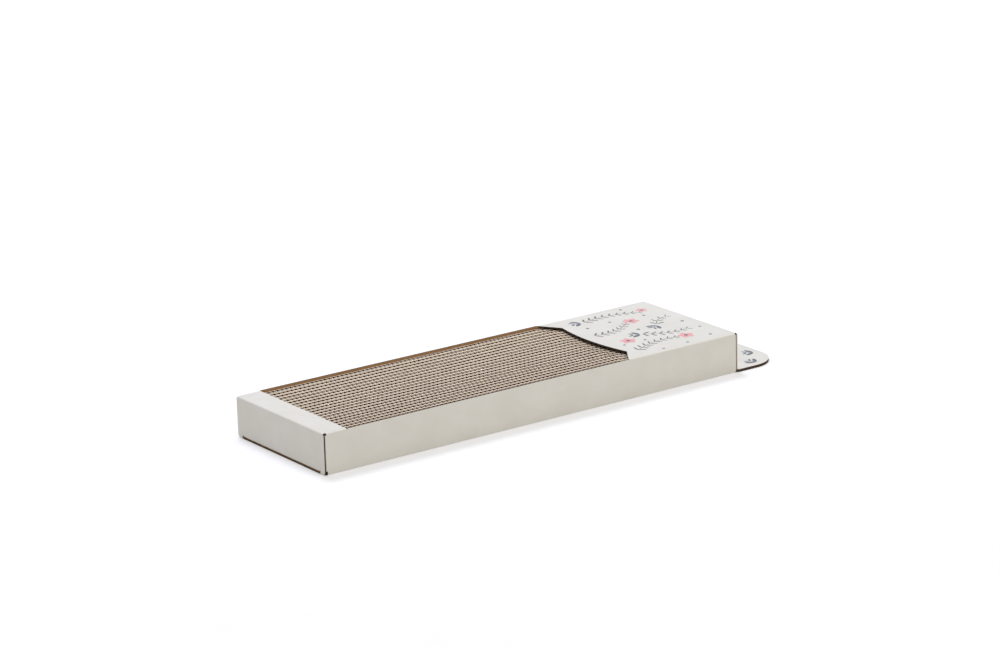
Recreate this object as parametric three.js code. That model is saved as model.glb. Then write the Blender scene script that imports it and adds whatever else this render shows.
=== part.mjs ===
// A cat scratching board: a flat carton folded from one sheet of thin fluted board,
// open across the top between a narrow bridge and a shaped cover, with a pad of
// corrugated strips standing on edge inside, and a doubled tab at the covered end.
// Millimetres, +Z up, +X from the foot end to the head end. The origin lies on the
// floor under the middle of the whole outline, tab included.
import * as THREE from 'three';

// Carton
const boxLength = 600;
const boxWidth = 185;
const boxHeight = 50;
const board = 1.6;
// Gap left at a fold, where the outer paper alone carries on, and between two sheets.
const foldGap = 0.3;

// Top: the bridge at the foot end and the cover at the head end
const bridgeLength = 31.5;
const coverSideLength = 166;
const coverNotchLength = 147;
const coverNotchInset = 28;
const coverBulge = 6;

// Foot end: a panel hinged at the top, its tuck flap and the two dust flaps behind it
const shoulderWidth = 9.5;
const bottomSetback = 0.5;
const tuckLength = 13;
const tuckTaper = 8;
const tuckLift = THREE.MathUtils.degToRad(14);
const dustReach = 30;
const dustTopDrop = 2.5;
const dustTopTaper = THREE.MathUtils.degToRad(37);
const dustFootRise = 5;
const dustFootTaper = THREE.MathUtils.degToRad(6);

// Inside: the flap that closes the sleeve, and the head end's dust flaps
const glueFlapHeight = 24;
const glueFlapInset = 15;
const headDustReach = 32;
const headDustTaper = THREE.MathUtils.degToRad(8);

// Tab on the floor at the head end
const tabReach = 69;
const tabCornerRadius = 38;

// Pad of strips on edge
const stripThickness = 8.6;
const padSidePlay = 1;
const padFootPlay = 3.5;
const padHeadPlay = 1.5;

// Places that follow from the sizes
const sheet = board + foldGap;
const halfWidth = boxWidth / 2;
const footX = -(boxLength + tabReach) / 2;
const headX = footX + boxLength;
const betweenSides = halfWidth - sheet;
const sideStart = footX + sheet;
const sideEnd = headX - sheet;
const shoulderInner = halfWidth - shoulderWidth;
const glueFlapY = halfWidth - sheet - board;
const topZ = boxHeight - board;

const printedBoard = new THREE.MeshStandardMaterial({ color: 0xdedcd8, roughness: 0.62, metalness: 0 });
const insideBoard = new THREE.MeshStandardMaterial({ color: 0xa8845c, roughness: 0.9, metalness: 0 });
const corrugated = new THREE.MeshStandardMaterial({ color: 0xa38c76, roughness: 0.95, metalness: 0 });

// How an outline is turned from the shape's own plane, with the depth that follows it:
// seen from above, depth up; from the near side, depth towards it; from an end, depth to +X.
const fromAbove = [0, 0, 0];
const fromSide = [Math.PI / 2, 0, 0];
const fromEnd = [Math.PI / 2, Math.PI / 2, 0];

function outline(points) {
  return new THREE.Shape(points.map(([a, b]) => new THREE.Vector2(a, b)));
}

function rectangle(a0, a1, b0, b1) {
  return outline([[a0, b0], [a1, b0], [a1, b1], [a0, b1]]);
}

function panel(name, shape, turn, place, material, thickness = board) {
  const geometry = new THREE.ExtrudeGeometry(shape, {
    depth: thickness,
    bevelEnabled: false,
    curveSegments: 16,
  });
  const mesh = new THREE.Mesh(geometry, material);
  mesh.name = name;
  mesh.rotation.set(...turn);
  mesh.position.set(...place);
  return mesh;
}

// Bottom of the carton: between the side panels, with a tongue between the end panel's shoulders.
function bottomPanel() {
  const nearY = -betweenSides;
  const farY = glueFlapY - foldGap;
  const tongueX = footX + bottomSetback;
  const tongueY = shoulderInner - foldGap;
  const shape = outline([
    [tongueX, -tongueY], [sideStart, -tongueY], [sideStart, nearY], [headX, nearY],
    [headX, farY], [sideStart, farY], [sideStart, tongueY], [tongueX, tongueY],
  ]);
  return panel('bottom_panel', shape, fromAbove, [0, 0, 0], printedBoard);
}

// Cover over the head end: its edge runs in from both sides to a notch, then bulges
// in a shallow arc towards the foot end.
function headCover() {
  const notchY = halfWidth - coverNotchInset;
  const sideX = headX - coverSideLength;
  const notchX = headX - coverNotchLength;
  const backX = headX - sheet;
  const radius = (notchY ** 2 + coverBulge ** 2) / (2 * coverBulge);
  const sweep = Math.asin(notchY / radius);
  const shape = new THREE.Shape();
  shape.moveTo(backX, -betweenSides);
  shape.lineTo(backX, betweenSides);
  shape.lineTo(sideX, betweenSides);
  shape.lineTo(notchX, notchY);
  shape.absarc(notchX - coverBulge + radius, 0, radius, Math.PI - sweep, Math.PI + sweep, false);
  shape.lineTo(sideX, -betweenSides);
  shape.closePath();
  return panel('head_cover', shape, fromAbove, [0, 0, topZ], printedBoard);
}

// The four walls of the sleeve, the flap glued inside the far wall, and the head end.
function sleeve() {
  const group = new THREE.Group();
  const side = rectangle(sideStart, sideEnd, 0, boxHeight);
  const bridge = rectangle(sideStart, footX + bridgeLength, -betweenSides, betweenSides);
  const glueStart = sideStart + glueFlapInset;
  const glueEnd = sideEnd - glueFlapInset;
  const glueFlap = outline([
    [glueStart, 0], [glueEnd, 0],
    [glueEnd - glueFlapHeight / 2, glueFlapHeight], [glueStart + glueFlapHeight / 2, glueFlapHeight],
  ]);
  const headEnd = rectangle(-halfWidth, halfWidth, sheet, boxHeight);
  group.add(
    bottomPanel(),
    panel('near_side_panel', side, fromSide, [0, board - halfWidth, 0], printedBoard),
    panel('far_side_panel', side, fromSide, [0, halfWidth, 0], printedBoard),
    panel('foot_bridge', bridge, fromAbove, [0, 0, topZ], printedBoard),
    headCover(),
    panel('glue_flap', glueFlap, fromSide, [0, glueFlapY + board, 0], insideBoard),
    panel('head_end_panel', headEnd, fromEnd, [headX - board, 0, 0], printedBoard),
  );
  for (const [name, hand] of [['near', -1], ['far', 1]]) {
    group.add(headDustFlap(`head_dust_flap_${name}`, hand));
  }
  return group;
}

// Dust flap behind the head end panel, tapered a little at its top and bottom.
function headDustFlap(name, hand) {
  const root = hand * (betweenSides - (hand > 0 ? sheet : 0));
  const tip = hand * (halfWidth - headDustReach);
  const taper = Math.abs(root - tip) * Math.tan(headDustTaper);
  const low = sheet + foldGap;
  const high = topZ - foldGap;
  const corners = [[root, low], [tip, low + taper], [tip, high - taper], [root, high]];
  const shape = outline(hand < 0 ? corners : corners.reverse());
  return panel(name, shape, fromEnd, [sideEnd - board, 0, 0], insideBoard);
}

// Foot end panel: shoulders at both lower corners reach the floor, and between them
// the panel stops above the bottom's raw edge, where the tuck flap turns in.
function footEnd() {
  const shape = outline([
    [-halfWidth, foldGap], [-shoulderInner, foldGap], [-shoulderInner, sheet], [shoulderInner, sheet],
    [shoulderInner, foldGap], [halfWidth, foldGap], [halfWidth, boxHeight], [-halfWidth, boxHeight],
  ]);
  const flap = new THREE.Group();
  flap.position.set(footX, 0, 0);
  flap.add(panel('foot_end_panel', shape, fromEnd, [0, 0, 0], printedBoard), tuckFlap());
  return flap;
}

// Tuck flap: folded in from the end panel's lower edge and sprung up a little, so that
// it swings out over the bottom panel when the end is opened.
function tuckFlap() {
  const root = (sheet + board * Math.sin(tuckLift)) / Math.cos(tuckLift);
  const rootY = shoulderInner - sheet;
  const shape = outline([
    [root, -rootY], [tuckLength, tuckTaper - rootY], [tuckLength, rootY - tuckTaper], [root, rootY],
  ]);
  const flap = new THREE.Group();
  flap.position.set(0, 0, sheet);
  flap.rotation.y = -tuckLift;
  flap.add(panel('foot_tuck_flap', shape, fromAbove, [0, 0, 0], printedBoard));
  return flap;
}

// Dust flap behind the foot end panel, hinged on the end of a side panel. Its top edge
// falls away so that the opening end panel stays ahead of it.
function footDustFlap(name, hand) {
  const root = sheet;
  const tip = root + dustReach;
  const rootTop = boxHeight - dustTopDrop;
  const tipTop = rootTop - dustReach * Math.tan(dustTopTaper);
  const tipFoot = dustFootRise + dustReach * Math.tan(dustFootTaper);
  const across = (depth) => hand * (halfWidth - depth);
  const corners = [
    [across(root), dustFootRise], [across(tip), tipFoot], [across(tip), tipTop], [across(root), rootTop],
  ];
  const shape = outline(hand < 0 ? corners : corners.reverse());
  return panel(name, shape, fromEnd, [sideStart, 0, 0], insideBoard);
}

// Tab: two layers, one turned out from the head end panel, one carried on from the bottom.
function tab() {
  const rootX = foldGap;
  const cornerX = tabReach - tabCornerRadius;
  const cornerY = halfWidth - tabCornerRadius;
  const shape = new THREE.Shape();
  shape.moveTo(rootX, -halfWidth);
  shape.lineTo(cornerX, -halfWidth);
  shape.absarc(cornerX, -cornerY, tabCornerRadius, -Math.PI / 2, 0, false);
  shape.lineTo(tabReach, cornerY);
  shape.absarc(cornerX, cornerY, tabCornerRadius, 0, Math.PI / 2, false);
  shape.lineTo(rootX, halfWidth);
  shape.closePath();
  const group = new THREE.Group();
  group.position.set(headX, 0, 0);
  group.add(
    panel('tab_lower_layer', shape, fromAbove, [0, 0, 0], printedBoard),
    panel('tab_upper_layer', shape, fromAbove, [0, 0, sheet], printedBoard),
  );
  return group;
}

// Pad: strips glued side by side, as many as fit between the near wall and the glue flap.
function pad() {
  const nearY = board - halfWidth + padSidePlay;
  const farY = glueFlapY - padSidePlay;
  const pitch = stripThickness + foldGap;
  const count = Math.floor((farY - nearY + foldGap) / pitch);
  const firstY = (nearY + farY - count * pitch + foldGap) / 2;
  const startX = footX + tuckLength + padFootPlay;
  const endX = sideEnd - board - padHeadPlay;
  const shape = rectangle(startX, endX, sheet, topZ - foldGap);
  const group = new THREE.Group();
  for (let i = 0; i < count; i += 1) {
    const name = `pad_strip_${String(i + 1).padStart(2, '0')}`;
    const farFace = firstY + i * pitch + stripThickness;
    group.add(panel(name, shape, fromSide, [0, farFace, 0], corrugated, stripThickness));
  }
  return group;
}

const scratchingBoard = new THREE.Group();
scratchingBoard.add(
  sleeve(),
  footEnd(),
  footDustFlap('foot_dust_flap_near', -1),
  footDustFlap('foot_dust_flap_far', 1),
  tab(),
  pad(),
);

export default scratchingBoard;
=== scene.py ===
"""Dresses a cat scratching board: a carton folded from fluted board, holding a corrugated pad.

All sizes are in metres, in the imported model's own frame: +X runs from the foot end to the head
end, +Y from the near long side to the far one, and +Z up from the floor.
"""

import logging
import math
import random
from dataclasses import dataclass, field
from enum import Enum
from typing import Callable, NamedTuple, Sequence

import bmesh
import bpy
from mathutils import Matrix, Vector


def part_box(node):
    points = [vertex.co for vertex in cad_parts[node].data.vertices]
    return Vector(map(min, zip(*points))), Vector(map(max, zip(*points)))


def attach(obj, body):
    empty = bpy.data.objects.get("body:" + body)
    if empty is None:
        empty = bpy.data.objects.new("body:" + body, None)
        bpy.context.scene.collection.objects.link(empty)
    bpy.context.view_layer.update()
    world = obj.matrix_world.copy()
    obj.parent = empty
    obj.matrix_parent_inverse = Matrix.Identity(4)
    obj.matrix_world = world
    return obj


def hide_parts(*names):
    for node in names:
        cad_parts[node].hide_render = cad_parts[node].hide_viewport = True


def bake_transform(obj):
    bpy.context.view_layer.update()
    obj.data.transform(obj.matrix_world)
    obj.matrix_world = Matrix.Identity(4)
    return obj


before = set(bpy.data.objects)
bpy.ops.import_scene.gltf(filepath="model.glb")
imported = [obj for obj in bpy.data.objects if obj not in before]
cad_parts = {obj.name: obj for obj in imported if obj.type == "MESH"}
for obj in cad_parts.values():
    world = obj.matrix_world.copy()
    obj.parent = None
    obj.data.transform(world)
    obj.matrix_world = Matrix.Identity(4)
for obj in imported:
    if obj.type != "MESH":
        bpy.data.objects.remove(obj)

MM = 0.001
Colour = tuple[float, float, float]
Triple = tuple[float, float, float]
Pair = tuple[float, float]
Material = bpy.types.Material
Mesh = bpy.types.Mesh
Socket = bpy.types.NodeSocket
Number = float | Socket
log = logging.getLogger("scratching_board")


class Side(Enum):
    """A long side of the carton, with its sign along Y."""

    NEAR = -1
    FAR = 1

    @property
    def label(self) -> str:
        """The word for this side in the names of its pieces."""
        return self.name.lower()

    def ordered(self, rows: list) -> list:
        """Return rows that run up the near side, turned round for the far one, where they run down."""
        return rows if self is Side.NEAR else rows[::-1]


class Border(Enum):
    """How one border of a patch of board ends: cut, carried on by another piece, or papered over."""

    RAW = "raw"
    JOINED = "joined"
    PAPERED = "papered"


BOTH_JOINED = {"first_column": Border.JOINED, "last_column": Border.JOINED}


class Face(Enum):
    """The surfaces of a piece of board, with the material index of each."""

    PRINTED = 0
    KRAFT = 1
    CUT = 2
    FLUTE = 3


# Node trees


class NodeSheet:
    """Adds nodes to one tree, sets their sockets and links them."""

    def __init__(self, tree: bpy.types.NodeTree) -> None:
        """Start on a tree."""
        self.tree = tree

    def feed(self, socket: Socket, value: object) -> None:
        """Link a socket to another one, or set its own value.

        Args:
            socket: The input to feed.
            value: An output socket, or a plain value.
        """
        if isinstance(value, Socket):
            self.tree.links.new(value, socket)
        else:
            socket.default_value = value

    def node(self, kind: str, inputs: dict[str | int, object] | None = None,
             **settings: object) -> bpy.types.Node:
        """Add one node and feed its inputs.

        Args:
            kind: The node's Blender type.
            inputs: Values or sockets by the input's name, or by its number where names repeat.
            settings: Values for its properties.

        Returns:
            The new node.
        """
        node = self.tree.nodes.new(kind)
        for name, value in settings.items():
            setattr(node, name, value)
        for name, value in (inputs or {}).items():
            self.feed(node.inputs[name], value)
        return node

    def out(self, kind: str, inputs: dict[str | int, object] | None = None, **settings: object) -> Socket:
        """Add one node as above and return its first output."""
        return self.node(kind, inputs, **settings).outputs[0]

    def math(self, operation: str, *terms: Number) -> Socket:
        """Return the result of one Math node on the given terms."""
        return self.out("ShaderNodeMath", dict(enumerate(terms)), operation=operation)

    def scaled(self, vector: Socket, factor: Number) -> Socket:
        """Return a vector times a number."""
        return self.out("ShaderNodeVectorMath", {"Vector": vector, "Scale": factor}, operation="SCALE")

    def summed(self, first: Socket, second: Socket) -> Socket:
        """Return the sum of two vectors."""
        return self.out("ShaderNodeVectorMath", {0: first, 1: second}, operation="ADD")

    def vector(self, x: Number = 0.0, y: Number = 0.0, z: Number = 0.0) -> Socket:
        """Return a vector made of three numbers."""
        return self.out("ShaderNodeCombineXYZ", {"X": x, "Y": y, "Z": z})

    def parts(self, vector: Socket) -> list[Socket]:
        """Return a vector's three numbers."""
        return list(self.node("ShaderNodeSeparateXYZ", {"Vector": vector}).outputs)

    def ranged(self, value: Number, low: Number, high: Number, to_low: Number = 0.0,
               to_high: Number = 1.0) -> Socket:
        """Return a value moved from one range to another and held inside it."""
        inputs = {"Value": value, "From Min": low, "From Max": high, "To Min": to_low, "To Max": to_high}
        return self.out("ShaderNodeMapRange", inputs)


class GeometryTree(NodeSheet):
    """A Geometry Nodes tree with named inputs, run once on an object and then taken off it."""

    def __init__(self, name: str) -> None:
        """Start a tree that takes geometry and a material.

        Args:
            name: The tree's name.
        """
        super().__init__(bpy.data.node_groups.new(name, "GeometryNodeTree"))
        self.tree.interface.new_socket("Geometry", in_out="INPUT", socket_type="NodeSocketGeometry")
        self.tree.interface.new_socket("Geometry", in_out="OUTPUT", socket_type="NodeSocketGeometry")
        self.entry = self.node("NodeGroupInput")
        self.exit = self.node("NodeGroupOutput")
        self.identifiers: dict[str, str] = {}
        self.take("Material", kind="NodeSocketMaterial")

    def take(self, *names: str, kind: str = "NodeSocketFloat") -> list[Socket]:
        """Add named inputs of one kind.

        Args:
            names: Their names.
            kind: Their sockets' Blender type.

        Returns:
            Their sockets inside the tree.
        """
        for name in names:
            socket = self.tree.interface.new_socket(name, in_out="INPUT", socket_type=kind)
            self.identifiers[name] = socket.identifier
        return [self.entry.outputs[name] for name in names]

    def named(self, name: str, kind: str = "FLOAT") -> Socket:
        """Return one of the points' own attributes."""
        node = self.node("GeometryNodeInputNamedAttribute", {"Name": name}, data_type=kind)
        return node.outputs["Attribute"]

    def noted(self, shape: Socket, name: str, value: Number) -> Socket:
        """Return a shape with a number stored on its points under a name."""
        inputs = {"Geometry": shape, "Name": name, "Value": value}
        return self.out("GeometryNodeStoreNamedAttribute", inputs, data_type="FLOAT")

    def traced(self) -> Socket:
        """Return the edges of the starting mesh as curves."""
        return self.out("GeometryNodeMeshToCurve", {"Mesh": self.entry.outputs["Geometry"]})

    def resampled(self, curve: Socket, length: Number) -> Socket:
        """Return a curve whose points are a set length apart."""
        return self.out("GeometryNodeResampleCurve", {"Curve": curve, "Length": length}, mode="LENGTH")

    def oblong(self, width: Number, height: Number) -> Socket:
        """Return a rectangle as a profile."""
        return self.out("GeometryNodeCurvePrimitiveQuadrilateral", {"Width": width, "Height": height})

    def upright(self, curve: Socket) -> Socket:
        """Return a curve on which profiles stand upright."""
        return self.out("GeometryNodeSetCurveNormal", {"Curve": curve}, mode="Z_UP")

    def swept(self, curve: Socket, profile: Socket) -> Socket:
        """Return a profile drawn upright along a curve, with its ends closed."""
        inputs = {"Curve": self.upright(curve), "Profile Curve": profile, "Fill Caps": True}
        return self.out("GeometryNodeCurveToMesh", inputs)

    def plate(self, corners: int, radius: float, depth: Number) -> Socket:
        """Return a round plate."""
        inputs = {"Vertices": corners, "Radius": radius, "Depth": depth}
        return self.out("GeometryNodeMeshCylinder", inputs)

    def shifted(self, shape: Socket, offset: Socket) -> Socket:
        """Return a shape with each point moved by an offset."""
        return self.out("GeometryNodeSetPosition", {"Geometry": shape, "Offset": offset})

    def stamped(self, points: Socket, shape: Socket, turn: Socket, scale: Socket) -> Socket:
        """Return a shape set on each point, turned and scaled."""
        inputs = {"Points": points, "Instance": shape, "Rotation": turn, "Scale": scale}
        return self.out("GeometryNodeInstanceOnPoints", inputs)

    def together(self, *shapes: Socket) -> Socket:
        """Join shapes into one.

        Args:
            shapes: Geometry sockets.

        Returns:
            The joined geometry.
        """
        join = self.node("GeometryNodeJoinGeometry")
        for shape in shapes:
            self.feed(join.inputs[0], shape)
        return join.outputs[0]

    def end(self, *shapes: Socket) -> None:
        """Join the shapes, make them real, set their material and send them out.

        Args:
            shapes: Geometry sockets.
        """
        real = self.out("GeometryNodeRealizeInstances", {"Geometry": self.together(*shapes)})
        material = self.entry.outputs["Material"]
        dressed = self.out("GeometryNodeSetMaterial", {"Geometry": real, "Material": material})
        self.feed(self.exit.inputs[0], dressed)

    def run(self, start: Mesh, material: Material, values: dict[str, object]) -> Mesh:
        """Run the tree on a mesh.

        Args:
            start: The mesh that the tree starts from.
            material: What the result is dressed with.
            values: A value for each further input.

        Returns:
            The result as a plain mesh.
        """
        holder = bpy.data.objects.new(self.tree.name, start)
        bpy.context.collection.objects.link(holder)
        modifier = holder.modifiers.new(self.tree.name, "NODES")
        modifier.node_group = self.tree
        for name, value in {"Material": material, **values}.items():
            modifier[self.identifiers[name]] = value
        graph = bpy.context.evaluated_depsgraph_get()
        mesh = bpy.data.meshes.new_from_object(holder.evaluated_get(graph))
        holder.modifiers.remove(modifier)
        bpy.data.objects.remove(holder)
        return mesh


def note(mesh: Mesh, name: str, values: Sequence[float]) -> None:
    """Store one number a point on a mesh under a name."""
    mesh.attributes.new(name, "FLOAT", "POINT").data.foreach_set("value", values)


def shown(name: str, mesh: Mesh) -> bpy.types.Object:
    """Put a finished mesh into the scene.

    Args:
        name: The piece's name.
        mesh: Its mesh, with its place in it.

    Returns:
        The new object.
    """
    mesh.name = name
    piece = bpy.data.objects.new(name, mesh)
    bpy.context.collection.objects.link(piece)
    return piece


def placed(name: str, mesh: Mesh, body: str, slot: str, *nodes: str) -> None:
    """Put a finished mesh into the scene as a piece that rides on one body.

    Args:
        name: The piece's name.
        mesh: Its mesh, with its place in it.
        body: The CAD body that it rides on.
        slot: The record's material slot; not used.
        nodes: The CAD nodes that it stands for.
    """
    piece = shown(name, mesh)
    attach(piece, body)
    if nodes:
        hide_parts(*nodes)
    log.info("%s: %d faces on %s", name, len(mesh.polygons), body)


def crossing(name: str, mesh: Mesh, bodies: tuple[str, str]) -> None:
    """Put a finished mesh into the scene as a fold between two bodies, baked in place and carried by neither.

    Args:
        name: The piece's name.
        mesh: Its mesh, with its place in it.
        bodies: The two CAD bodies.
    """
    piece = shown(name, mesh)
    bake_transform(piece)
    log.info("%s: %d faces between %s and %s", name, len(mesh.polygons), *bodies)


# Finishes. A scale counts features per metre, and a range is the part of a noise that shows.


class ShaderSheet(NodeSheet):
    """A material's node tree, with the texture helpers that the finishes share."""

    def __init__(self, name: str) -> None:
        """Start a material.

        Args:
            name: The material's name.
        """
        self.material = bpy.data.materials.new(name)
        self.material.use_nodes = True
        super().__init__(self.material.node_tree)
        self.shader = self.tree.nodes["Principled BSDF"]
        self.place = self.node("ShaderNodeTexCoord").outputs["Object"]

    def noise(self, scale: float, detail: float = 3.0, roughness: float = 0.5,
              place: Socket | None = None) -> Socket:
        """Return a noise value, on the object's own coordinates unless others are given."""
        inputs = {"Vector": place or self.place, "Scale": scale, "Detail": detail, "Roughness": roughness}
        return self.out("ShaderNodeTexNoise", inputs)

    def spread(self, noise: Socket, span: Pair) -> Socket:
        """Return a noise value spread over a span, from 0.3 and 0.7, between which most of it lies."""
        return self.ranged(noise, 0.3, 0.7, *span)

    def attribute(self, name: str) -> Socket:
        """Return the value of one of the mesh's own attributes."""
        return self.node("ShaderNodeAttribute", attribute_name=name).outputs["Fac"]

    def mixed(self, factor: Number, first: Colour | Socket, second: Colour | Socket) -> Socket:
        """Mix two colours.

        Args:
            factor: 0 gives the first, 1 the second.
            first: A colour or a colour socket.
            second: A colour or a colour socket.

        Returns:
            The mixed colour.
        """
        inputs = {0: factor}
        for number, colour in ((6, first), (7, second)):
            inputs[number] = (*colour, 1.0) if isinstance(colour, tuple) else colour
        return self.node("ShaderNodeMix", inputs, data_type="RGBA").outputs[2]

    def surface(self, colour: Socket, roughness: Number, height: Socket, relief: float,
                specular: float) -> Material:
        """Feed the shader and give the material.

        Args:
            colour: The base colour.
            roughness: The roughness.
            height: A height for the bump, about 0 to 1.
            relief: The bump's depth for a height of 1.
            specular: The specular level.

        Returns:
            The finished material.
        """
        bump = self.out("ShaderNodeBump", {"Height": height, "Distance": relief, "Strength": 1.0})
        for name, value in (("Base Color", colour), ("Roughness", roughness), ("Normal", bump),
                            ("Specular IOR Level", specular)):
            self.feed(self.shader.inputs[name], value)
        return self.material


@dataclass(frozen=True)
class PrintedLiner:
    """White coated outer paper, faintly mottled, and a little paler along its folds: a painted highlight
    there, broken up by scuff noise like wear.
    """

    name: str = "printed_liner"
    white: Colour = (0.79, 0.785, 0.775)
    shade: Colour = (0.755, 0.75, 0.735)
    # fold colour: paler paper along the folds, a painted highlight that the scuffs break up like wear
    fold: Colour = (0.85, 0.845, 0.835)
    flute_pitch: float = 3.2 * MM
    flute_show: float = 0.18
    cloud_scale: float = 38.0
    cloud_range: Pair = (0.35, 0.65)
    scuff_scale: float = 420.0
    scuff_range: Pair = (0.38, 0.62)
    least_highlight_and_wear: float = 0.5
    fibre_scale: float = 1400.0
    fibre_show: float = 0.6
    roughness: Pair = (0.5, 0.66)
    relief: float = 0.02 * MM
    specular: float = 0.35

    def material(self) -> Material:
        """Build the finish.

        Returns:
            The finish as a material.
        """
        sheet = ShaderSheet(self.name)
        cloud = sheet.ranged(sheet.noise(self.cloud_scale, detail=4.0), *self.cloud_range)
        fibre = sheet.noise(self.fibre_scale, roughness=0.65)
        # painted highlight along the folds, broken up by scuff noise like wear
        scuffs = sheet.ranged(sheet.noise(self.scuff_scale, detail=5.0), *self.scuff_range)
        highlight_and_wear = sheet.math("MULTIPLY_ADD", scuffs, 1 - self.least_highlight_and_wear, self.least_highlight_and_wear)
        fold_highlight_and_wear = sheet.math("MULTIPLY", sheet.attribute("fold"), highlight_and_wear)
        colour = sheet.mixed(fold_highlight_and_wear, sheet.mixed(cloud, self.white, self.shade), self.fold)
        turn = sheet.math("MULTIPLY", sheet.attribute("along"), 2 * math.pi / self.flute_pitch)
        paper = sheet.math("MULTIPLY_ADD", fibre, self.fibre_show, cloud)
        height = sheet.math("MULTIPLY_ADD", sheet.math("SINE", turn), self.flute_show, paper)
        return sheet.surface(colour, sheet.spread(fibre, self.roughness), height, self.relief, self.specular)


@dataclass(frozen=True)
class KraftLiner:
    """Brown inner paper with long fibres and darker flecks."""

    name: str = "kraft_liner"
    brown: Colour = (0.43, 0.262, 0.132)
    shade: Colour = (0.36, 0.21, 0.1)
    fleck: Colour = (0.2, 0.115, 0.055)
    fibre_scale: float = 260.0
    fibre_stretch: Triple = (0.35, 1.6, 1.6)
    fibre_range: Pair = (0.35, 0.68)
    fleck_scale: float = 900.0
    fleck_range: Pair = (0.63, 0.72)
    roughness: Pair = (0.78, 0.92)
    relief: float = 0.05 * MM
    specular: float = 0.2

    def material(self) -> Material:
        """Build the finish.

        Returns:
            The finish as a material.
        """
        sheet = ShaderSheet(self.name)
        drawn = sheet.out("ShaderNodeMapping", {"Vector": sheet.place, "Scale": self.fibre_stretch})
        fibre = sheet.noise(self.fibre_scale, detail=5.0, roughness=0.62, place=drawn)
        flecks = sheet.ranged(sheet.noise(self.fleck_scale, detail=2.0), *self.fleck_range)
        paper = sheet.mixed(sheet.ranged(fibre, *self.fibre_range), self.brown, self.shade)
        colour = sheet.mixed(flecks, paper, self.fleck)
        return sheet.surface(colour, sheet.spread(fibre, self.roughness), fibre, self.relief, self.specular)


@dataclass(frozen=True)
class CutPaper:
    """Raw cut edge of paper: brown, fibrous and fully matt."""

    name: str = "cut_paper"
    brown: Colour = (0.13, 0.088, 0.058)
    dark: Colour = (0.06, 0.04, 0.026)
    fibre_scale: float = 1500.0
    broad_scale: float = 1500.0 / 9
    broad_show: float = 0.6
    dark_range: Pair = (0.62, 1.0)
    roughness: Pair = (0.82, 0.96)
    relief: float = 0.06 * MM
    specular: float = 0.15

    def material(self) -> Material:
        """Build the finish.

        Returns:
            The finish as a material.
        """
        sheet = ShaderSheet(self.name)
        fibre = sheet.noise(self.fibre_scale, detail=4.0, roughness=0.7)
        broad = sheet.noise(self.broad_scale)
        share = sheet.ranged(sheet.math("MULTIPLY_ADD", broad, self.broad_show, fibre), *self.dark_range)
        colour = sheet.mixed(share, self.brown, self.dark)
        return sheet.surface(colour, sheet.spread(fibre, self.roughness), fibre, self.relief, self.specular)


@dataclass(frozen=True)
class PadPaper:
    """Paper of the pad: pale along its cut top edge, then painted light and shade down its walls, and painted
    shade under the cover.

    The strips carry what it reads: "top" is the height of the pad's top above the foot of the
    strip at each point, "cell" says how far a paper takes the near-black painted shade of a wide
    cell, and "under" is how far a point lies past the cover's edge, where the painted shade starts.
    """

    foot_z: float
    name: str = "pad_paper"
    pale: Colour = (0.98, 0.885, 0.79)
    # the lit, brown and near-black colours paint light and shade on the walls by depth below the top: a lit
    # tone near the top, brown lower down, near black deep in the wide cells
    lit: Colour = (0.84, 0.695, 0.56)
    brown: Colour = (0.29, 0.15, 0.07)
    painted_deep_shade: Colour = (0.014, 0.005, 0.002)
    rim: float = 0.06 * MM
    ragged: float = 0.2 * MM
    fade: float = 0.2 * MM
    fine_fade: float = 4.0 * MM
    # painted shade under the cover's edge: past the edge the colour is scaled down, over the reach given, to
    # the share below
    painted_shade_reach: float = 2.0 * MM
    shade: float = 0.45
    ragged_scale: float = 700.0
    fibre_scale: float = 500.0
    fibre_range: Pair = (0.5, 0.75)
    fibre_show: float = 0.35
    broad_scale: float = 60.0
    broad_tone: Pair = (0.92, 1.04)
    roughness: Pair = (0.84, 0.97)
    relief: float = 0.1 * MM
    specular: float = 0.03

    def material(self) -> Material:
        """Build the finish.

        Returns:
            The finish as a material.
        """
        sheet = ShaderSheet(self.name)
        height = sheet.parts(sheet.place)[2]
        top = sheet.math("ADD", sheet.attribute("top"), self.foot_z + self.ragged / 2)
        torn = sheet.math("MULTIPLY_ADD", sheet.noise(self.ragged_scale), self.ragged, height)
        depth = sheet.math("SUBTRACT", top, torn)
        fibre = sheet.noise(self.fibre_scale, detail=4.0, roughness=0.7)
        # painted shade: the walls darken with depth below the top, from the lit tone to brown on the fine
        # waves and from brown to near black in the coarse wave's wide cells
        coarse = sheet.mixed(sheet.ranged(depth, self.rim, self.fade), self.brown, self.painted_deep_shade)
        fine = sheet.mixed(sheet.ranged(depth, self.rim, self.fine_fade), self.lit, self.brown)
        shaded_walls = sheet.mixed(sheet.attribute("cell"), fine, coarse)
        paper = sheet.mixed(sheet.ranged(depth, 0.0, self.rim), self.pale, shaded_walls)
        fibres = sheet.ranged(fibre, *self.fibre_range, 0.0, self.fibre_show)
        mottled = sheet.mixed(fibres, paper, self.brown)
        broad = sheet.spread(sheet.noise(self.broad_scale), self.broad_tone)
        # painted shade: the colour is scaled down past the cover's edge
        shade = sheet.ranged(sheet.attribute("under"), 0.0, self.painted_shade_reach, 1.0, self.shade)
        colour = sheet.scaled(mottled, sheet.math("MULTIPLY", broad, shade))
        return sheet.surface(colour, sheet.spread(fibre, self.roughness), fibre, self.relief, self.specular)


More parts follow.
